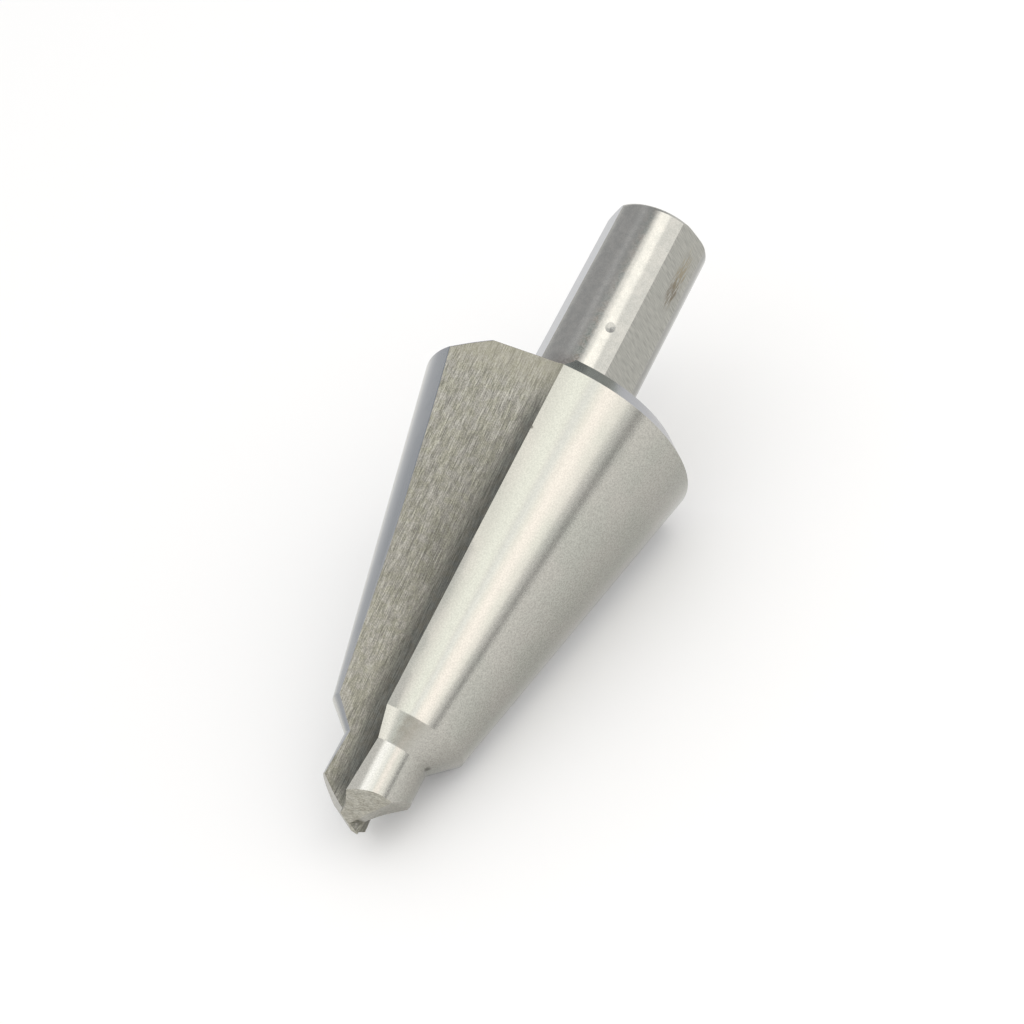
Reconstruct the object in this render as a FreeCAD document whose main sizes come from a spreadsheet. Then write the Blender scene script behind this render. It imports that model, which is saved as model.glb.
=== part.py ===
import FreeCAD, Part

import itertools
import math
import os

import Sketcher
from FreeCAD import Placement, Rotation, Vector

# Taper reamer for sheet metal and tube, ground from one bar of high-speed steel:
# split point, short pilot, shoulder, long cone with two straight flutes, bevelled
# back and a round shank with three flats.
#
# The tool is drawn along its own axis. Its origin is the centre of the largest
# circle, Z runs to the shank end and the point is below. The first flute opens
# toward negative Y with its cutting edge on its positive X side. The finished
# solid is then laid on the floor, on the edges of its second flute.

os.makedirs("parts", exist_ok=True)
doc = FreeCAD.newDocument("TaperReamer")

# Driving dimensions, millimetres and degrees.
DIMENSIONS = (
    ("base_diameter", 30.5),
    ("back_face_diameter", 25.8),
    ("back_bevel_height", 2.25),
    ("cone_length", 36.6),
    ("cone_front_diameter", 14.4),
    ("shoulder_length", 2.6),
    ("pilot_diameter", 9.0),
    ("point_reach", 8.35),
    ("shank_diameter", 11.8),
    ("shank_length", 24.8),
    ("shank_rounding", 0.5),
    ("flat_count", 3),
    ("flat_depth", 0.45),
    ("flat_azimuth", 40.0),
    ("dimple_height", 11.1),
    ("dimple_radius", 0.65),
    ("dimple_depth", 0.16),
    ("flute_count", 2),
    ("rake_height", 4.4),
    ("rake_hook", 19.5),
    ("flute_reach", 26.0),
    ("flute_front_overrun", 1.0),
    ("flute_front_offset", 1.84),
    ("flute_front_floor", -0.7),
    ("flute_front_lean", 11.0),
    ("flute_front_root", 1.8),
    ("flute_back_overrun", 1.0),
    ("flute_back_offset", 2.24),
    ("flute_back_floor", 10.95),
    ("flute_back_lean", -19.0),
    ("flute_back_root", 2.6),
    ("flank_azimuth", -62.5),
    ("first_flank_rise", 33.0),
    ("first_flank_lift", 0.6),
    ("second_flank_rise", 28.0),
    ("second_flank_lift", 0.0),
    ("gash_offset", 0.12),
    ("first_gash_azimuth", -6.0),
    ("first_gash_rise", 43.5),
    ("first_gash_turn", 42.0),
    ("first_gash_lift", 0.6),
    ("second_gash_azimuth", 174.5),
    ("second_gash_rise", 36.0),
    ("second_gash_turn", 45.0),
    ("second_gash_lift", 0.55),
    ("grinding_reach", 16.0),
)

sheet = doc.addObject("Spreadsheet::Sheet", "Sizes")
for row, (alias, value) in enumerate(DIMENSIONS, start=1):
    sheet.set("A%d" % row, alias)
    sheet.set("B%d" % row, str(value))
    sheet.setAlias("B%d" % row, alias)
doc.recompute()


class Size:
    """A number together with the sheet expression that gives it."""

    def __init__(self, value, text):
        self.value = value
        self.text = text

    def __add__(self, other):
        return Size(self.value + other.value, "(%s + %s)" % (self.text, other.text))

    def __sub__(self, other):
        return Size(self.value - other.value, "(%s - %s)" % (self.text, other.text))

    def __neg__(self):
        return Size(-self.value, "(0 - %s)" % self.text)

    def half(self):
        return Size(self.value / 2, "(%s / 2)" % self.text)


# Limits for finding the floor: twice the least triangle, and the most that an
# edge between two touching corners may bow out.
SMALLEST_AREA = 1.0
BOW = 0.5

sizes = {alias: Size(float(value), "Sizes." + alias) for alias, value in DIMENSIONS}
ZERO = Size(0.0, "0")
QUARTER_TURN = Size(90.0, "90")
HALF_TURN = Size(180.0, "180")

# Stations along the axis and radii that several features share.
base_radius = sizes["base_diameter"].half()
pilot_radius = sizes["pilot_diameter"].half()
shank_radius = sizes["shank_diameter"].half()
cone_front = -sizes["cone_length"]
pilot_back = cone_front - sizes["shoulder_length"]
point_tip = pilot_back - sizes["point_reach"]
back_face = sizes["back_bevel_height"]
shank_end = back_face + sizes["shank_length"]

body = doc.addObject("PartDesign::Body", "Reamer")
body.Label = "taper_reamer"


def datum(role):
    """One of the body's own planes or axes, found by its role."""
    return next(item for item in body.Origin.OriginFeatures if item.Role == role)


def new_sketch(name, role="XY_Plane"):
    """An empty sketch on one of the body's planes."""
    sketch = body.newObject("Sketcher::SketchObject", name)
    sketch.AttachmentSupport = [(datum(role), "")]
    sketch.MapMode = "FlatFace"
    return sketch


def bind(sketch, name, size, kind, *where):
    """Add a dimension of the given kind and tie it to the sheet."""
    number = sketch.addConstraint(Sketcher.Constraint(kind, *where, size.value))
    sketch.renameConstraint(number, name)
    sketch.setExpression("Constraints." + name, size.text)


def bind_angle(sketch, name, size, line):
    """Fix the direction of a line, measured from the sketch's X axis."""
    angle = math.radians(size.value)
    number = sketch.addConstraint(Sketcher.Constraint("Angle", line, angle))
    sketch.renameConstraint(number, name)
    sketch.setExpression("Constraints." + name, "(%s) * 1 deg" % size.text)


def outline(sketch, corners):
    """A closed run of straight lines; a corner is its name and its two sizes."""
    count = len(corners)
    spots = [Vector(across.value, along.value, 0) for _, across, along in corners]
    for index in range(count):
        sketch.addGeometry(Part.LineSegment(spots[index], spots[(index + 1) % count]))
    for index in range(count):
        following = (index + 1) % count
        sketch.addConstraint(Sketcher.Constraint("Coincident", index, 2, following, 1))
    for index, (name, across, along) in enumerate(corners):
        if across is ZERO:
            sketch.addConstraint(Sketcher.Constraint("PointOnObject", index, 1, -2))
        else:
            bind(sketch, name + "_across", across, "DistanceX", -1, 1, index, 1)
        if along is ZERO:
            sketch.addConstraint(Sketcher.Constraint("PointOnObject", index, 1, -1))
        else:
            bind(sketch, name + "_along", along, "DistanceY", -1, 1, index, 1)


def volume_now():
    """Volume of the solid as far as it is built."""
    doc.recompute()
    return body.Shape.Volume


def cuts(feature, before):
    """Stop if a cutting feature took nothing away."""
    after = volume_now()
    if after >= before - 1e-6:
        raise RuntimeError(feature.Name + " cuts nothing")
    return after


def repeat(name, features, count):
    """Repeat ground features round the axis."""
    pattern = body.newObject("PartDesign::PolarPattern", name)
    pattern.Originals = features
    pattern.Axis = (datum("Z_Axis"), [""])
    pattern.Angle = 360
    pattern.setExpression("Occurrences", count.text)
    body.Tip = pattern
    return pattern


# The turned blank.
blank_sketch = new_sketch("BlankProfile", "XZ_Plane")
outline(
    blank_sketch,
    (
        ("tip", ZERO, point_tip),
        ("pilot_front", pilot_radius, point_tip),
        ("pilot_back", pilot_radius, pilot_back),
        ("cone_front", sizes["cone_front_diameter"].half(), cone_front),
        ("rim", base_radius, ZERO),
        ("back_edge", sizes["back_face_diameter"].half(), back_face),
        ("shank_root", shank_radius, back_face),
        ("shank_back", shank_radius, shank_end),
        ("end_centre", ZERO, shank_end),
    ),
)
blank = body.newObject("PartDesign::Revolution", "Blank")
blank.Profile = blank_sketch
blank.ReferenceAxis = (blank_sketch, ["V_Axis"])
blank.Angle = 360
blank_sketch.Visibility = False
volume = volume_now()

# The turned end of the shank is rounded. The flats are ground later and run out
# on the rounding.
heights = [face.CenterOfMass.z for face in blank.Shape.Faces]
rounding = body.newObject("PartDesign::Fillet", "ShankRounding")
rounding.Base = (blank, ["Face%d" % (heights.index(max(heights)) + 1)])
rounding.setExpression("Radius", sizes["shank_rounding"].text)
volume = cuts(rounding, volume)

# Three flats along the whole shank.
flat_sketch = new_sketch("FlatProfile")
flat_sketch.setExpression(
    "AttachmentOffset",
    "placement(vector(0; 0; %s); rotation(vector(0; 0; 1); %s))"
    % (shank_end.text, sizes["flat_azimuth"].text),
)
flat_face = sizes["flat_depth"] - shank_radius
outline(
    flat_sketch,
    (
        ("outer_left", -shank_radius, -sizes["shank_diameter"]),
        ("outer_right", shank_radius, -sizes["shank_diameter"]),
        ("inner_right", shank_radius, flat_face),
        ("inner_left", -shank_radius, flat_face),
    ),
)
flat = body.newObject("PartDesign::Pocket", "ShankFlat")
flat.Profile = flat_sketch
flat.Type = "Length"
flat.setExpression("Length", sizes["shank_length"].text)
volume = cuts(flat, volume)
flats = repeat("ShankFlats", [flat], sizes["flat_count"])
volume = cuts(flats, volume)

# The dimple that the hardness test left on the shank, a shallow cone. Its profile
# is drawn to twice the depth, so that the cone comes out clear of the round.
dimple_sketch = new_sketch("DimpleProfile", "YZ_Plane")
dimple_sketch.setExpression("AttachmentOffset.Base.y", sizes["dimple_height"].text)
dimple_foot = sizes["dimple_depth"] - shank_radius
dimple_head = -(sizes["dimple_depth"] + shank_radius)
dimple_reach = sizes["dimple_radius"] + sizes["dimple_radius"]
outline(
    dimple_sketch,
    (
        ("foot", dimple_foot, ZERO),
        ("head_rim", dimple_head, dimple_reach),
        ("head", dimple_head, ZERO),
    ),
)
dimple = body.newObject("PartDesign::Groove", "TestDimple")
dimple.Profile = dimple_sketch
dimple.ReferenceAxis = (dimple_sketch, ["H_Axis"])
dimple.Angle = 360
volume = cuts(dimple, volume)


def flute_section(name, station, offset, floor, lean, root):
    """Section of a flute: hooked rake wall, round root and the wide floor.

    A line at the given offset beside the axis crosses the floor at the distance
    floor from the axis, and the rake wall at rake_height further out.
    """
    reach = sizes["flute_reach"].value
    hook = math.radians(sizes["rake_hook"].value)
    tilt = math.radians(lean.value)
    wall_mark = Vector(-offset.value, -floor.value - sizes["rake_height"].value, 0)
    floor_mark = Vector(-offset.value, -floor.value, 0)
    outward = Vector(-math.sin(hook), -math.cos(hook), 0)
    sideways = Vector(-math.cos(tilt), -math.sin(tilt), 0)

    # corner where wall and floor would meet without the round root
    between = floor_mark - wall_mark
    cross = outward.x * sideways.y - outward.y * sideways.x
    along_wall = (between.x * sideways.y - between.y * sideways.x) / cross
    corner = wall_mark + outward * along_wall
    opening = outward.getAngle(sideways)
    tangent = root.value / math.tan(opening / 2)
    wall_foot = corner + outward * tangent
    floor_foot = corner + sideways * tangent
    bisector = (outward + sideways).normalize()
    centre = corner + bisector * (root.value / math.sin(opening / 2))
    wall_top = wall_mark + outward * ((reach + wall_mark.y) / math.cos(hook))
    floor_end = floor_mark + sideways * ((reach - offset.value) / math.cos(tilt))
    far_corner = Vector(-reach, -reach, 0)

    sketch = new_sketch(name)
    sketch.setExpression("AttachmentOffset.Base.z", station.text)
    circle = Part.Circle(centre, Vector(0, 0, 1), root.value)
    wall_angle = math.atan2(wall_foot.y - centre.y, wall_foot.x - centre.x)
    floor_angle = math.atan2(floor_foot.y - centre.y, floor_foot.x - centre.x)
    wall = sketch.addGeometry(Part.LineSegment(wall_top, wall_foot))
    arc = sketch.addGeometry(Part.ArcOfCircle(circle, wall_angle, floor_angle))
    bottom = sketch.addGeometry(Part.LineSegment(floor_foot, floor_end))
    side = sketch.addGeometry(Part.LineSegment(floor_end, far_corner))
    outer = sketch.addGeometry(Part.LineSegment(far_corner, wall_top))
    wall_point = sketch.addGeometry(Part.Point(wall_mark), True)
    floor_point = sketch.addGeometry(Part.Point(floor_mark), True)

    sketch.addConstraint(
        [
            Sketcher.Constraint("Tangent", wall, 2, arc, 1),
            Sketcher.Constraint("Tangent", arc, 2, bottom, 1),
            Sketcher.Constraint("Coincident", bottom, 2, side, 1),
            Sketcher.Constraint("Coincident", side, 2, outer, 1),
            Sketcher.Constraint("Coincident", outer, 2, wall, 1),
            Sketcher.Constraint("Vertical", side),
            Sketcher.Constraint("Horizontal", outer),
            Sketcher.Constraint("PointOnObject", wall_point, 1, wall),
            Sketcher.Constraint("PointOnObject", floor_point, 1, bottom),
        ]
    )
    wall_out = -(floor + sizes["rake_height"])
    bind(sketch, "wall_across", -offset, "DistanceX", -1, 1, wall_point, 1)
    bind(sketch, "wall_out", wall_out, "DistanceY", -1, 1, wall_point, 1)
    bind(sketch, "floor_across", -offset, "DistanceX", -1, 1, floor_point, 1)
    bind(sketch, "floor_out", -floor, "DistanceY", -1, 1, floor_point, 1)
    bind(sketch, "reach_across", -sizes["flute_reach"], "DistanceX", -1, 1, side, 2)
    bind(sketch, "reach_out", -sizes["flute_reach"], "DistanceY", -1, 1, side, 2)
    bind(sketch, "root_radius", root, "Radius", arc)
    bind_angle(sketch, "hook", QUARTER_TURN - sizes["rake_hook"], wall)
    bind_angle(sketch, "lean", lean - HALF_TURN, bottom)
    return sketch


# Two straight flutes, cut from beyond the point to beyond the back face.
flute_front = flute_section(
    "FluteFront",
    point_tip - sizes["flute_front_overrun"],
    sizes["flute_front_offset"],
    sizes["flute_front_floor"],
    sizes["flute_front_lean"],
    sizes["flute_front_root"],
)
flute_back = flute_section(
    "FluteBack",
    back_face + sizes["flute_back_overrun"],
    sizes["flute_back_offset"],
    sizes["flute_back_floor"],
    sizes["flute_back_lean"],
    sizes["flute_back_root"],
)
flute = body.newObject("PartDesign::SubtractiveLoft", "Flute")
flute.Profile = flute_front
flute.Sections = [flute_back]
flute.Ruled = True
volume = cuts(flute, volume)
flutes = repeat("Flutes", [flute], sizes["flute_count"])
volume = cuts(flutes, volume)


def grinding_plane(name, start, azimuth, rise):
    """A sketch on a plane that rises toward the given azimuth from the axis."""
    sketch = new_sketch(name)
    sketch.setExpression(
        "AttachmentOffset",
        "placement(vector(0; 0; %s); rotation(vector(0; 0; 1); %s) * "
        "rotation(vector(0; 1; 0); 0 - %s))" % (start.text, azimuth.text, rise.text),
    )
    return sketch


def grind_away(name, sketch):
    """Take away what lies before a ground plane, along the tool's axis."""
    pocket = body.newObject("PartDesign::Pocket", name)
    pocket.Profile = sketch
    pocket.Type = "Length"
    pocket.UseCustomVector = True
    pocket.Direction = Vector(0, 0, -1)
    pocket.setExpression("Length", sizes["grinding_reach"].text)
    return pocket


reach_both = sizes["grinding_reach"]


def flank(name, azimuth, rise, lift):
    """Relieve a lip on a plane that meets the axis at the given lift above the tip."""
    sketch = grinding_plane(name + "Plane", point_tip + lift, azimuth, rise)
    outline(
        sketch,
        (
            ("low_left", -reach_both, reach_both),
            ("low_right", -reach_both, -reach_both),
            ("high_right", reach_both, -reach_both),
            ("high_left", reach_both, reach_both),
        ),
    )
    return grind_away(name, sketch)


def gash(name, azimuth, rise, turn, lift):
    """Gash a lip on a plane that meets the axis at the given lift above the tip."""
    sketch = grinding_plane(name + "Plane", point_tip + lift, azimuth, rise)
    angle = math.radians(turn.value)
    reach = sizes["grinding_reach"].value
    middle = Vector(sizes["gash_offset"].value, 0, 0)
    along = Vector(math.cos(angle), math.sin(angle), 0)
    outer = middle + along * reach
    inner = middle - along * reach
    corner = Vector(outer.x, inner.y, 0)
    edge = sketch.addGeometry(Part.LineSegment(inner, outer))
    right = sketch.addGeometry(Part.LineSegment(outer, corner))
    lower = sketch.addGeometry(Part.LineSegment(corner, inner))
    start = sketch.addGeometry(Part.Point(middle), True)
    sketch.addConstraint(
        [
            Sketcher.Constraint("Coincident", edge, 2, right, 1),
            Sketcher.Constraint("Coincident", right, 2, lower, 1),
            Sketcher.Constraint("Coincident", lower, 2, edge, 1),
            Sketcher.Constraint("Vertical", right),
            Sketcher.Constraint("Horizontal", lower),
            Sketcher.Constraint("PointOnObject", start, 1, -1),
            Sketcher.Constraint("Symmetric", edge, 1, edge, 2, start, 1),
        ]
    )
    bind(sketch, "offset", sizes["gash_offset"], "DistanceX", -1, 1, start, 1)
    bind_angle(sketch, "turn", turn, edge)
    bind(sketch, "reach", reach_both + reach_both, "Distance", edge)
    return grind_away(name, sketch)


# The flanks behind the two lips, ground one at a time. The second was ground less,
# so its lip reaches a little further.
first_flank = flank(
    "FirstFlank",
    sizes["flank_azimuth"],
    sizes["first_flank_rise"],
    sizes["first_flank_lift"],
)
volume = cuts(first_flank, volume)
second_flank = flank(
    "SecondFlank",
    sizes["flank_azimuth"] + HALF_TURN,
    sizes["second_flank_rise"],
    sizes["second_flank_lift"],
)
volume = cuts(second_flank, volume)

# Gashes that split the chisel edge and give each lip its inner cutting edge. The
# second was ground less steeply than the first.
first_gash = gash(
    "FirstGash",
    sizes["first_gash_azimuth"],
    sizes["first_gash_rise"],
    sizes["first_gash_turn"],
    sizes["first_gash_lift"],
)
volume = cuts(first_gash, volume)
second_gash = gash(
    "SecondGash",
    sizes["second_gash_azimuth"],
    sizes["second_gash_rise"],
    sizes["second_gash_turn"],
    sizes["second_gash_lift"],
)
volume = cuts(second_gash, volume)

doc.recompute()


def check_document():
    """Stop if any object failed or the solid isn't one valid piece."""
    for item in doc.Objects:
        if "Invalid" in item.State or "Error" in item.State:
            raise RuntimeError(item.Name + " failed: " + ", ".join(item.State))
    shape = body.Shape
    if shape.isNull() or not shape.isValid() or len(shape.Solids) != 1:
        raise RuntimeError("the reamer isn't one valid solid")


check_document()


def inside(spot, triangle, normal):
    """Whether a spot lies over a triangle, seen along the normal."""
    turns = []
    for index in range(3):
        side = triangle[(index + 1) % 3] - triangle[index]
        turns.append(side.cross(spot - triangle[index]).dot(normal))
    return min(turns) >= 0 or max(turns) <= 0


def rest_plane(shape):
    """Downward normal of the floor that the tool comes to rest on.

    The tool's weight falls between the three corners of the second flute that
    touch the floor, and of all such floors it is the one that the rest of the
    tool stays above, or passes by least where an edge is a little bowed.
    """
    lines = [line for line in shape.Edges if not line.Degenerated]
    outline_points = [point for line in lines for point in line.discretize(25)]
    weight = shape.Solids[0].CenterOfMass
    corners = [vertex.Point for vertex in shape.Vertexes if vertex.Point.y > 0]
    found = []
    for triangle in itertools.combinations(corners, 3):
        normal = (triangle[1] - triangle[0]).cross(triangle[2] - triangle[0])
        if normal.Length < SMALLEST_AREA:
            continue
        normal.normalize()
        if normal.dot(weight - triangle[0]) > 0:
            normal = normal * -1.0
        if inside(weight, triangle, normal):
            below = max(normal.dot(point - triangle[0]) for point in outline_points)
            found.append((below, normal.x, normal.y, normal.z))
    below, *down = min(found)
    if below > BOW:
        raise RuntimeError("no floor holds the tool on its second flute")
    return Vector(*down)


down = rest_plane(body.Shape)

# The floor is level, and the axis then runs along Y with the point toward
# negative Y, as far as the slope of the axis lets it.
upright = Rotation(down, Vector(0, 0, -1))
axis_now = upright.multVec(Vector(0, 0, 1))
heading = math.degrees(math.atan2(axis_now.y, axis_now.x))
laid = Rotation(Vector(0, 0, 1), 90 - heading).multiply(upright)
body.Placement = Placement(Vector(0, 0, 0), laid)
doc.recompute()
box = body.Shape.optimalBoundingBox(False, False)
body.Placement = Placement(Vector(-box.Center.x, -box.Center.y, -box.ZMin), laid)
doc.recompute()
check_document()

print("volume %.1f mm3" % body.Shape.Volume)
print("box", body.Shape.optimalBoundingBox(False, False))
print("placement", body.Placement)
print("centre of mass", body.Shape.Solids[0].CenterOfMass)
print("floor normal in the tool's own frame", down)

body.Shape.exportStep("parts/" + body.Label + ".step")
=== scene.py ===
import math

import bpy
from mathutils import Euler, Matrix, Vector


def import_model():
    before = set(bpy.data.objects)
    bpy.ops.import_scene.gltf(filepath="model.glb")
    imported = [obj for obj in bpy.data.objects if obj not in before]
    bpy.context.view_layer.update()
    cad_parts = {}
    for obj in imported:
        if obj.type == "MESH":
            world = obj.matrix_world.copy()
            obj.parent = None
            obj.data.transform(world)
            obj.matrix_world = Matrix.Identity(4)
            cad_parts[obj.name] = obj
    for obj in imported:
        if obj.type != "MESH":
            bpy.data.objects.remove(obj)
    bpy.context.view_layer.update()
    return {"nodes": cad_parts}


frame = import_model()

MM = 0.001

# How the tool lies in the frame: its own axes, with Z along the tool toward the
# shank, turned and moved onto the floor.
LAID_TURN = [math.radians(a) for a in (-77.1101, 35.8354, 7.631)]
LAID_MOVE = [0.0, 9.37147 * MM, 13.3712 * MM]
TOOL_TURN = Euler(LAID_TURN).to_matrix()
TOOL_AXIS = tuple(TOOL_TURN @ Vector((0, 0, 1)))

# Sizes of the tool in millimetres, for telling its surfaces apart. The rim is at
# height 0, the cone, shoulder and pilot are below it and the shank above.
RIM_RADIUS, FRONT_RADIUS, PILOT_RADIUS, BACK_RADIUS = 15.25, 7.2, 4.5, 12.9
CONE_LENGTH, SHOULDER_LENGTH, BEVEL_HEIGHT = 36.6, 2.6, 2.25
CONE_SLOPE = (RIM_RADIUS - FRONT_RADIUS) / CONE_LENGTH
SHOULDER_SLOPE = (FRONT_RADIUS - PILOT_RADIUS) / SHOULDER_LENGTH
BEVEL_SLOPE = (RIM_RADIUS - BACK_RADIUS) / BEVEL_HEIGHT
PILOT_TOP = -CONE_LENGTH - SHOULDER_LENGTH
FLAT_AZIMUTHS = (40.0, -80.0, 160.0)

# Stripes along each land, painted reflection bands: start, middle and end in degrees from its lip.
LAND_REFLECTION_STRIPES = (
    (-10.0, 0.0, 5.5, (0.520, 0.530, 0.475, 1)),
    (1.0, 4.5, 8.0, (0.465, 0.472, 0.440, 1)),
    (6.0, 11.0, 17.0, (0.530, 0.505, 0.462, 1)),
)

# Small dark nicks, and a painted glint, a highlight at the far corner: place in the tool's millimetres, and
# reach.
NICKS = (
    ((-2.30, -13.50, -6.9), 0.26),
    ((4.20, -1.75, -39.00), 0.55),
    ((4.28, -1.40, -41.62), 0.13),
)
GLINT, GLINT_REACH = (-6.49, -2.67, -37.44), 0.2


def link(obj):
    bpy.context.scene.collection.objects.link(obj)
    return obj


def direction(azimuth):
    """Where a radius of the tool points in the frame."""
    a = math.radians(azimuth)
    return tuple(TOOL_TURN @ Vector((math.sin(a), -math.cos(a), 0)))


class Nodes:
    """Short hands for building a node tree."""

    NUMBER_RESULTS = ("DOT_PRODUCT", "LENGTH", "DISTANCE")

    def __init__(self, tree):
        self.tree = tree
        tree.nodes.clear()

    def add(self, kind, **facts):
        node = self.tree.nodes.new(kind)
        for name, value in facts.items():
            setattr(node, name, value)
        return node

    def put(self, socket, value):
        if isinstance(value, bpy.types.NodeSocket):
            self.tree.links.new(value, socket)
        elif value is not None:
            socket.default_value = value

    def math(self, operation, *values):
        node = self.add("ShaderNodeMath", operation=operation)
        for socket, value in zip(node.inputs, values):
            self.put(socket, value)
        return node.outputs[0]

    def times(self, first, *others):
        """Numbers multiplied."""
        for other in others:
            first = self.math("MULTIPLY", first, other)
        return first

    def vector(self, operation, *values):
        node = self.add("ShaderNodeVectorMath", operation=operation)
        for socket, value in zip(node.inputs, values):
            self.put(socket, value)
        return node.outputs["Value" if operation in self.NUMBER_RESULTS else "Vector"]

    def combine(self, *values):
        """A vector from its parts, each 0 where it is None or missing."""
        node = self.add("ShaderNodeCombineXYZ")
        for socket, value in zip(node.inputs, values):
            self.put(socket, value)
        return node.outputs[0]

    def ramp(self, value, low, high, smooth=True):
        """0 at low and before it, 1 at high and past it."""
        node = self.add("ShaderNodeMapRange", interpolation_type="SMOOTHSTEP" if smooth else "LINEAR")
        self.put(node.inputs["Value"], value)
        self.put(node.inputs["From Min"], low)
        self.put(node.inputs["From Max"], high)
        return node.outputs["Result"]

    def band(self, value, low, middle, high):
        """1 in the middle, falling to 0 at low and at high."""
        return self.times(self.ramp(value, low, middle), self.ramp(value, high, middle))

    def ramp_to(self, amount, low, high):
        """low where the amount is 0, high where it is 1."""
        return self.math("MULTIPLY_ADD", amount, high - low, low)

    def grade(self, colour, strength):
        """A colour made darker or lighter."""
        node = self.add("ShaderNodeVectorMath", operation="SCALE")
        self.put(node.inputs[0], colour if isinstance(colour, bpy.types.NodeSocket) else colour[:3])
        self.put(node.inputs["Scale"], strength)
        return node.outputs[0]

    def mix(self, amount, first, second):
        """The first colour, turning into the second as the amount goes to 1."""
        node = self.add("ShaderNodeMix", data_type="RGBA")
        self.put(node.inputs[0], amount)
        self.put(node.inputs[6], first)
        self.put(node.inputs[7], second)
        return node.outputs[2]

    def blend(self, amount, first, second):
        """The same as mix, for numbers."""
        node = self.add("ShaderNodeMix", data_type="FLOAT")
        self.put(node.inputs[0], amount)
        self.put(node.inputs[2], first)
        self.put(node.inputs[3], second)
        return node.outputs[0]

    def noise(self, where, scale, detail=2.0, roughness=0.5):
        node = self.add("ShaderNodeTexNoise")
        self.put(node.inputs["Vector"], where)
        self.put(node.inputs["Scale"], scale)
        self.put(node.inputs["Detail"], detail)
        self.put(node.inputs["Roughness"], roughness)
        return node.outputs["Fac"]


class Place:
    """Where a spot lies on the tool, in the tool's own millimetres and degrees."""

    def __init__(self, n):
        laid = n.add("ShaderNodeMapping", vector_type="TEXTURE")
        n.put(laid.inputs["Vector"], n.add("ShaderNodeTexCoord").outputs["Object"])
        laid.inputs["Location"].default_value = LAID_MOVE
        laid.inputs["Rotation"].default_value = LAID_TURN
        laid.inputs["Scale"].default_value = (MM, MM, MM)
        self.spot = laid.outputs[0]
        split = n.add("ShaderNodeSeparateXYZ")
        n.put(split.inputs[0], self.spot)
        self.x, self.y, self.z = split.outputs
        self.beside = n.math("ABSOLUTE", self.x)
        self.radius = n.math("SQRT", n.math("ADD", n.times(self.x, self.x), n.times(self.y, self.y)))
        azimuth = n.math("ARCTAN2", self.x, n.times(self.y, -1.0))
        self.degrees = n.times(azimuth, 180.0 / math.pi)
        # the same for both lands, counted from the lip of each
        before = n.math("LESS_THAN", self.degrees, -40.0)
        half = n.math("SUBTRACT", before, n.math("GREATER_THAN", self.degrees, 110.0))
        self.from_lip = n.math("MULTIPLY_ADD", half, 180.0, self.degrees)
        self.normal = n.add("ShaderNodeNewGeometry").outputs["Normal"]
        self.along = n.vector("DOT_PRODUCT", self.normal, TOOL_AXIS)
        self.side = n.ramp(n.math("ABSOLUTE", self.along), 0.7, 0.4)


class Surfaces:
    """Masks that tell the tool's surfaces apart, each 1 on its own."""

    def __init__(self, n, at):
        cone = n.math("MULTIPLY_ADD", at.z, CONE_SLOPE, RIM_RADIUS)
        shoulder = n.math("MULTIPLY_ADD", at.z, SHOULDER_SLOPE, FRONT_RADIUS + SHOULDER_SLOPE * CONE_LENGTH)
        bevel = n.math("MULTIPLY_ADD", at.z, -BEVEL_SLOPE, RIM_RADIUS)
        turned = n.math("MINIMUM", n.math("MINIMUM", cone, shoulder), bevel)
        turned = n.math("MAXIMUM", turned, PILOT_RADIUS)
        depth = n.math("SUBTRACT", turned, at.radius)
        self.land = n.ramp(depth, 0.10, 0.06, smooth=False)
        self.shank = n.ramp(at.z, BEVEL_HEIGHT - 0.03, BEVEL_HEIGHT - 0.02, smooth=False)
        self.pilot = n.ramp(at.z, PILOT_TOP + 0.2, PILOT_TOP - 0.1)
        before_cone = n.ramp(at.z, -CONE_LENGTH + 0.1, -CONE_LENGTH - 0.1)
        self.shoulder = n.times(n.math("SUBTRACT", 1.0, self.pilot), before_cone)
        self.point = n.times(n.ramp(at.along, -0.45, -0.55), n.ramp(at.z, -42.0, -42.4))
        past_rim = n.times(n.ramp(at.z, 0.02, 0.05), n.math("SUBTRACT", 1.0, self.shank))
        self.bevel = n.times(past_rim, self.land)
        flat = 0.0
        for azimuth in FLAT_AZIMUTHS:
            faces = n.ramp(n.vector("DOT_PRODUCT", at.normal, direction(azimuth)), 0.985, 0.992)
            flat = n.math("MAXIMUM", faces, flat)
        self.flat = n.times(flat, self.shank)
        self.far_flat = n.times(self.flat, n.ramp(at.x, -3.0, -4.5))


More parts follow.
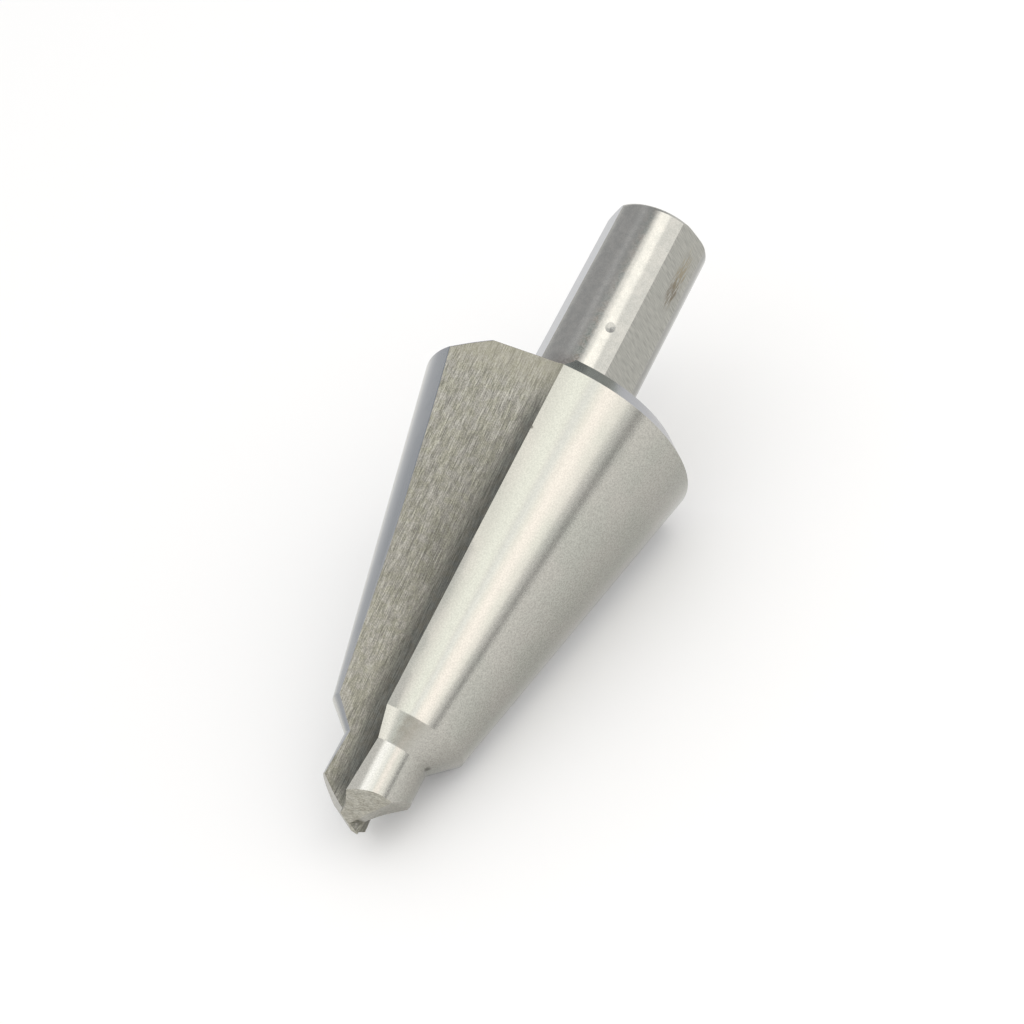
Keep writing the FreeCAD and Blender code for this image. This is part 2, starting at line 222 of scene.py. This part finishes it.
class Textures:
    """Patches, grain, streaks, scratches and painted glints that the finishes share."""

    def __init__(self, n, at):
        self.patches = n.noise(at.spot, 0.16, detail=3.0)
        self.cloud = n.noise(at.spot, 0.55, detail=4.0, roughness=0.6)
        self.mottle = n.ramp(n.noise(at.spot, 1.1, detail=3.0, roughness=0.6), 0.36, 0.64)
        self.grain = n.noise(at.spot, 6.5, detail=1.0, roughness=0.6)
        self.fine = n.ramp(self.grain, 0.32, 0.68, smooth=False)
        self.speckle = n.ramp(n.noise(at.spot, 4.2, detail=3.0, roughness=0.7), 0.38, 0.60)
        self.streak_flutes(n, at)
        self.scratch_flats(n, at)

    def streak_flutes(self, n, at):
        """Streaks from places across and into a flute, which stay the same along its floor."""
        across = n.math("SUBTRACT", n.times(at.z, 0.055), at.beside)
        inward = n.times(at.y, n.math("SIGN", at.x), -1.0)
        inward = n.math("MULTIPLY_ADD", at.z, 0.19, inward)
        lay = n.combine(across, n.times(inward, 0.3), n.times(at.z, 0.035))
        self.streaks = n.noise(lay, 22.0, detail=1.0)
        self.stroke = n.ramp(self.streaks, 0.34, 0.66, smooth=False)
        long_lay = n.combine(across, None, n.times(at.z, 0.05))
        self.long_streaks = n.noise(long_lay, 1.7, detail=3.0, roughness=0.6)
        # thin bright lines along the flutes: painted glints
        self.painted_glints = n.ramp(n.noise(long_lay, 12.0, detail=1.0), 0.64, 0.72)

    def scratch_flats(self, n, at):
        """Fine scratches across the flats, a little aslant."""
        third = 360.0 / len(FLAT_AZIMUTHS)
        middle = FLAT_AZIMUTHS[0]
        nearest = n.math("WRAP", at.degrees, middle + third / 2, middle - third / 2)
        off_middle = n.times(n.math("SUBTRACT", nearest, middle), math.pi / 180.0)
        self.aside = n.times(at.radius, n.math("SINE", off_middle))
        slant = n.combine(n.math("MULTIPLY_ADD", self.aside, 0.20, at.z), n.times(self.aside, 0.05))
        self.scratches = n.noise(slant, 15.0, detail=1.0)


def land_finish_and_painted_light(n, at, on, look):
    """The turned lands of the cone, shoulder and pilot, with painted reflection stripes beside the lip,
    painted highlights and painted shade.
    """
    tint = n.mix(n.ramp(look.patches, 0.38, 0.62), (0.455, 0.455, 0.412, 1), (0.480, 0.468, 0.428, 1))
    # painted shade: each land darker across its middle, from 22 to 88 degrees from its lip
    tint = n.grade(tint, n.ramp_to(n.band(at.from_lip, 22.0, 66.0, 88.0), 1.0, 0.80))
    # painted reflection stripes beside the lip
    for start, middle, end, colour in LAND_REFLECTION_STRIPES:
        tint = n.mix(n.band(at.from_lip, start, middle, end), tint, colour)
    # painted highlights: a whiter band by the lip on the pilot, and one just before the lip on the shoulder
    painted_highlight = n.times(n.band(at.from_lip, -13.0, -4.0, 9.0), on.pilot)
    tint = n.mix(painted_highlight, tint, (0.565, 0.568, 0.545, 1))
    painted_highlight = n.times(n.band(at.from_lip, -18.0, -9.0, -3.0), on.shoulder)
    tint = n.mix(painted_highlight, tint, (0.560, 0.555, 0.505, 1))
    # a mottled brown band on the shoulder, painted as the darker reflection beside its highlight
    brown = n.times(n.band(at.from_lip, -5.0, 4.0, 27.0), on.shoulder, n.ramp_to(look.mottle, 0.6, 1.0))
    tint = n.mix(brown, tint, (0.36, 0.345, 0.295, 1))
    strength = n.ramp_to(n.ramp(at.from_lip, 16.0, 30.0), 0.14, 0.30)
    grain = n.times(n.math("SUBTRACT", look.fine, 0.5), strength)
    colour = n.grade(tint, n.math("ADD", grain, 1.0))
    # painted shade: toward its heel each land is painted darker and bluer
    heel_shade = n.ramp(at.from_lip, 89.0, 105.0)
    return n.mix(n.times(heel_shade, 0.9), colour, (0.21, 0.225, 0.25, 1))


def shank_finish_and_painted_light(n, at, look):
    """The round of the shank, with a painted lighter reflection strip, a dark speckled strip along it, a
    dark foot, and painted shade past the right flat.
    """
    tint = n.mix(look.mottle, (0.41, 0.41, 0.385, 1), (0.455, 0.45, 0.42, 1))
    # a painted lighter reflection strip along the shank
    lighter = n.times(n.band(at.degrees, -34.0, -27.0, -22.0), at.side)
    tint = n.grade(tint, n.ramp_to(lighter, 1.0, 1.18))
    # a dark speckled strip along the shank, darker lower down
    strip = n.times(n.band(at.degrees, -25.0, -16.0, -10.5), at.side, n.ramp_to(look.speckle, 0.35, 1.0))
    strip = n.times(strip, n.ramp_to(n.ramp(at.z, 14.0, 8.0), 0.65, 1.1))
    speckled_dark = n.mix(look.mottle, (0.20, 0.225, 0.205, 1), (0.27, 0.235, 0.20, 1))
    tint = n.mix(n.times(strip, 0.8), tint, speckled_dark)
    foot = n.times(n.ramp(at.z, 7.2, 4.6), n.band(at.degrees, -52.0, -20.0, -9.0), at.side)
    foot = n.times(foot, n.ramp_to(look.speckle, 0.55, 0.95))
    tint = n.mix(foot, tint, (0.20, 0.175, 0.16, 1))
    # painted shade: darker past the right flat
    dull = n.times(n.band(at.degrees, 59.0, 66.0, 96.0), at.side)
    tint = n.grade(tint, n.ramp_to(dull, 1.0, 0.70))
    return n.grade(tint, n.ramp_to(look.fine, 0.94, 1.06))


def flat_finish(n, at, look):
    """The flats, finely scratched, with a brown stain on one."""
    colour = n.mix(n.ramp(look.scratches, 0.38, 0.62), (0.320, 0.320, 0.295, 1), (0.430, 0.425, 0.390, 1))
    lay = n.combine(n.math("MULTIPLY_ADD", at.z, -0.05, look.aside), None, n.times(at.z, 0.10))
    lines = n.ramp(n.noise(lay, 6.5, detail=2.0, roughness=0.6), 0.34, 0.62)
    lines = n.times(lines, n.ramp_to(n.ramp(look.scratches, 0.35, 0.6), 0.45, 1.0))
    on_first_flat = n.math("GREATER_THAN", n.math("SUBTRACT", at.x, at.y), 5.0)
    stain = n.times(n.band(look.aside, -0.6, 0.8, 2.1), n.band(at.z, 16.0, 20.3, 28.0))
    stain = n.ramp(n.times(stain, lines, on_first_flat), 0.02, 0.60)
    brown = n.mix(n.ramp(at.z, 19.5, 22.5), (0.165, 0.135, 0.095, 1), (0.30, 0.26, 0.18, 1))
    return n.mix(n.times(stain, 0.85), colour, brown)


def far_flat_painted_reflection(n, look):
    """The flat on the left, which faces away from the lamps: a bluish grey painted as its reflection, over
    fine scratches.
    """
    return n.grade((0.42, 0.432, 0.452, 1), n.ramp_to(look.scratches, 0.9, 1.1))


def flute_root(n, at, look):
    """1 in the root of a flute, along its rake wall, where painted shade goes."""
    toward_point = n.math("MAXIMUM", n.math("SUBTRACT", -34.0, at.z), 0.0)
    edge = n.math("MULTIPLY_ADD", toward_point, -0.07, 3.3)
    edge = n.math("MULTIPLY_ADD", n.math("SUBTRACT", look.long_streaks, 0.5), 0.8, edge)
    root = n.ramp(n.math("SUBTRACT", at.beside, edge), 1.3, -0.6)
    root = n.times(root, n.ramp(at.z, -46.0, -43.5))
    return n.times(root, n.ramp_to(n.ramp(at.z, 0.0, -4.5), 0.15, 1.0))


def flute_finish_and_painted_light(n, at, look):
    """The flutes, streaked along, with painted glints, and painted shade down the slope and in the root."""
    colour = n.mix(look.mottle, (0.345, 0.338, 0.28, 1), (0.385, 0.374, 0.335, 1))
    colour = n.grade(colour, n.ramp_to(look.stroke, 0.60, 1.36))
    colour = n.grade(colour, n.ramp_to(look.fine, 0.80, 1.20))
    # painted glints: thin bright lines along the flute
    colour = n.grade(colour, n.ramp_to(look.painted_glints, 1.0, 1.25))
    colour = n.grade(colour, n.ramp_to(n.ramp(look.long_streaks, 0.35, 0.65), 0.90, 1.10))
    # painted shade, darker down its slope toward the root; and darker along the middle of the cone
    slope = n.times(n.ramp(at.beside, 9.0, 3.0, smooth=False), n.ramp(at.z, -1.0, -14.0))
    colour = n.grade(colour, n.ramp_to(slope, 1.0, 0.72))
    colour = n.grade(colour, n.ramp_to(n.band(at.z, -37.0, -20.0, -1.0), 1.0, 0.80))
    root = flute_root(n, at, look)
    # painted shade in the root of the flute, along its rake wall
    dark = n.mix(look.mottle, (0.085, 0.092, 0.095, 1), (0.105, 0.102, 0.085, 1))
    dark = n.grade(dark, n.ramp_to(look.stroke, 0.7, 1.3))
    colour = n.mix(n.times(root, n.ramp_to(look.mottle, 0.62, 0.78)), colour, dark)
    back_edge = n.times(n.ramp(at.z, -2.5, 1.5), n.ramp(root, 1.0, 0.4))
    return n.mix(n.times(back_edge, 0.4), colour, (0.44, 0.42, 0.33, 1))


def point_finish(n, at, look):
    """The flanks of the point, with grinding lines round it."""
    colour = n.mix(look.mottle, (0.355, 0.342, 0.292, 1), (0.425, 0.413, 0.362, 1))
    lay = n.combine(n.times(at.x, 0.15), n.math("MULTIPLY_ADD", at.x, 0.25, at.y), at.z)
    lines = n.ramp(n.noise(lay, 7.0, detail=2.0, roughness=0.6), 0.36, 0.64)
    colour = n.grade(colour, n.ramp_to(lines, 0.84, 1.16))
    return n.grade(colour, n.ramp_to(look.fine, 0.86, 1.14))


def bevel_tone_and_painted_shade(n, at):
    """The back bevel, with painted shade by the lip, paler round the land."""
    colour = n.mix(n.ramp(at.from_lip, 11.0, 18.0), (0.22, 0.25, 0.24, 1), (0.235, 0.245, 0.28, 1))
    return n.mix(n.ramp(at.from_lip, 22.0, 48.0), colour, (0.355, 0.36, 0.39, 1))


def nicks_and_glint(n, at, colour):
    """The colour with the small nicks and the painted glint over it."""
    for nick, reach in NICKS:
        near = n.ramp(n.vector("DISTANCE", at.spot, nick), reach, reach * 0.3)
        colour = n.mix(n.times(near, 0.75), colour, (0.10, 0.095, 0.08, 1))
    # the painted glint: a highlight painted at the far corner
    near = n.ramp(n.vector("DISTANCE", at.spot, GLINT), GLINT_REACH, GLINT_REACH * 0.4)
    return n.mix(near, colour, (0.95, 0.95, 0.95, 1))


def steel_colour(n, at, on, look):
    colour = n.mix(on.land, flute_finish_and_painted_light(n, at, look), land_finish_and_painted_light(n, at, on, look))
    colour = n.mix(on.point, colour, point_finish(n, at, look))
    colour = n.mix(n.times(on.bevel, 0.85), colour, bevel_tone_and_painted_shade(n, at))
    colour = n.mix(on.shank, colour, shank_finish_and_painted_light(n, at, look))
    colour = n.mix(on.flat, colour, flat_finish(n, at, look))
    colour = n.mix(on.far_flat, colour, far_flat_painted_reflection(n, look))
    return nicks_and_glint(n, at, colour)


def steel_roughness(n, on, look):
    streaked = n.math("MULTIPLY_ADD", look.streaks, 0.16, 0.34)
    rough = n.blend(on.land, streaked, n.math("MULTIPLY_ADD", look.cloud, 0.08, 0.17))
    rough = n.blend(on.point, rough, 0.33)
    rough = n.blend(on.shank, rough, n.math("MULTIPLY_ADD", look.cloud, 0.06, 0.14))
    return n.blend(on.flat, rough, 0.28)


def steel_relief(n, on, look):
    """The height of the grinding marks in millimetres, as a bumped normal."""
    relief = n.blend(on.land, n.times(look.streaks, 0.008), n.times(look.grain, 0.0018))
    relief = n.blend(on.shank, relief, n.times(look.grain, 0.0005))
    relief = n.blend(on.flat, relief, n.times(look.scratches, 0.002))
    bump = n.add("ShaderNodeBump")
    n.put(bump.inputs["Height"], relief)
    bump.inputs["Strength"].default_value = 1.0
    bump.inputs["Distance"].default_value = MM
    return bump.outputs[0]


def grinding_tangent(n, at, on):
    """The grinding lines run along the flutes and round everything else."""
    axis = n.combine(*TOOL_AXIS)
    across = n.vector("CROSS_PRODUCT", at.normal, axis)
    ground_round = n.math("MAXIMUM", n.math("MAXIMUM", on.land, on.shank), on.point)
    tangent = n.mix(ground_round, across, axis)
    # one direction all over the shank's end and the back face
    return n.mix(n.ramp(at.along, 0.97, 0.99), tangent, (*direction(90), 1.0))


def ground_steel():
    """Ground high-speed steel: grained lands, streaked flutes, scratched flats."""
    material = bpy.data.materials.new("ground_steel")
    material.use_nodes = True
    n = Nodes(material.node_tree)
    shader = n.add("ShaderNodeBsdfPrincipled")
    out = n.add("ShaderNodeOutputMaterial")
    n.put(out.inputs["Surface"], shader.outputs[0])
    at = Place(n)
    on = Surfaces(n, at)
    look = Textures(n, at)
    shader.inputs["Metallic"].default_value = 1.0
    shader.inputs["Anisotropic"].default_value = 0.6
    n.put(shader.inputs["Base Color"], steel_colour(n, at, on, look))
    n.put(shader.inputs["Roughness"], steel_roughness(n, on, look))
    n.put(shader.inputs["Normal"], steel_relief(n, on, look))
    n.put(shader.inputs["Tangent"], grinding_tangent(n, at, on))
    return material


def floor():
    """A plain white floor that keeps the tool's shadow."""
    half = 1.5
    just_below = -0.00002
    mesh = bpy.data.meshes.new("floor")
    corners = [(-half, -half, 0), (half, -half, 0), (half, half, 0), (-half, half, 0)]
    mesh.from_pydata(corners, [], [(0, 1, 2, 3)])
    obj = link(bpy.data.objects.new("floor", mesh))
    obj.location.z = just_below
    material = bpy.data.materials.new("floor_white")
    material.use_nodes = True
    n = Nodes(material.node_tree)
    out = n.add("ShaderNodeOutputMaterial")
    diffuse = n.add("ShaderNodeBsdfDiffuse")
    diffuse.inputs["Color"].default_value = (0.8, 0.8, 0.8, 1)
    glow = n.add("ShaderNodeEmission")
    path = n.add("ShaderNodeLightPath")
    seen = n.math("MAXIMUM", path.outputs["Is Camera Ray"], path.outputs["Is Glossy Ray"])
    seen = n.math("MAXIMUM", seen, path.outputs["Is Transmission Ray"])
    # far from the lamps it glows a little more, to stay as white
    away = n.vector("LENGTH", n.add("ShaderNodeTexCoord").outputs["Object"])
    n.put(glow.inputs["Strength"], n.times(seen, n.ramp_to(n.ramp(away, 0.3, 1.0), 0.11, 0.21)))
    both = n.add("ShaderNodeAddShader")
    n.put(both.inputs[0], diffuse.outputs[0])
    n.put(both.inputs[1], glow.outputs[0])
    n.put(out.inputs["Surface"], both.outputs[0])
    mesh.materials.append(material)


def world():
    """An even white all round."""
    sky = bpy.data.worlds.new("studio")
    bpy.context.scene.world = sky
    sky.use_nodes = True
    n = Nodes(sky.node_tree)
    out = n.add("ShaderNodeOutputWorld")
    back = n.add("ShaderNodeBackground")
    back.inputs["Strength"].default_value = 1.0
    back.inputs["Color"].default_value = (1, 1, 1, 1)
    n.put(out.inputs["Surface"], back.outputs[0])


CENTRE = (0.0, 0.0, 0.012)
WARM = (1.0, 0.95, 0.88)


def around(azimuth, elevation, distance):
    """A place seen from the tool: azimuth from -Y toward +X, and elevation."""
    a, e = math.radians(azimuth), math.radians(elevation)
    return (
        CENTRE[0] + distance * math.cos(e) * math.sin(a),
        CENTRE[1] - distance * math.cos(e) * math.cos(a),
        CENTRE[2] + distance * math.sin(e),
    )


def facing_tool(obj, place):
    obj.location = place
    obj.rotation_euler = (Vector(CENTRE) - Vector(place)).to_track_quat("-Z", "Y").to_euler()


def lamp(name, place, width, height, power):
    """A soft warm lamp that shines on the tool."""
    data = bpy.data.lights.new(name, "AREA")
    data.shape = "RECTANGLE"
    data.size, data.size_y = width, height
    data.energy = power
    data.color = WARM
    facing_tool(link(bpy.data.objects.new(name, data)), place)


def card(name, place, width, height, grey):
    """A dull grey card that only the metal's reflections see."""
    w, h = width / 2, height / 2
    mesh = bpy.data.meshes.new(name)
    mesh.from_pydata([(-w, -h, 0), (w, -h, 0), (w, h, 0), (-w, h, 0)], [], [(0, 1, 2, 3)])
    material = bpy.data.materials.new(name)
    material.use_nodes = True
    n = Nodes(material.node_tree)
    out = n.add("ShaderNodeOutputMaterial")
    glow = n.add("ShaderNodeEmission")
    glow.inputs["Color"].default_value = grey
    n.put(out.inputs["Surface"], glow.outputs[0])
    mesh.materials.append(material)
    obj = link(bpy.data.objects.new(name, mesh))
    facing_tool(obj, place)
    obj.visible_camera = False
    obj.visible_diffuse = False
    obj.visible_shadow = False


def photograph_camera():
    """The camera at the photograph's angle."""
    camera = link(bpy.data.objects.new("camera", bpy.data.cameras.new("camera")))
    camera.data.sensor_width = 36.0
    camera.data.lens = 69.6355
    camera.data.clip_start = 0.01
    camera.data.clip_end = 20.0
    camera.location = (0.1126667, -0.1056789, 0.1470301)
    camera.rotation_euler = Euler([math.radians(a) for a in (46.22644, 17.3628, 31.08935)])
    bpy.context.scene.camera = camera


tool = frame["nodes"]["taper_reamer"]
tool.data.materials.clear()
tool.data.materials.append(ground_steel())

floor()
world()
lamp("key", around(96, 43.5, 0.55), 0.76, 0.60, 0.80)
lamp("key_back", around(132, 57, 0.50), 0.22, 0.20, 0.105)
lamp("key_front", around(77, 29, 0.50), 0.23, 0.23, 0.045)
lamp("low", around(-9, 11, 0.60), 0.26, 0.15, 0.105)
card("card_left", around(-150, 48, 0.6), 0.92, 0.53, (0.60, 0.60, 0.62, 1))
card("card_low", around(95, 5, 0.7), 0.90, 0.07, (0.45, 0.45, 0.45, 1))
photograph_camera()

bpy.context.scene.view_settings.view_transform = "Standard"
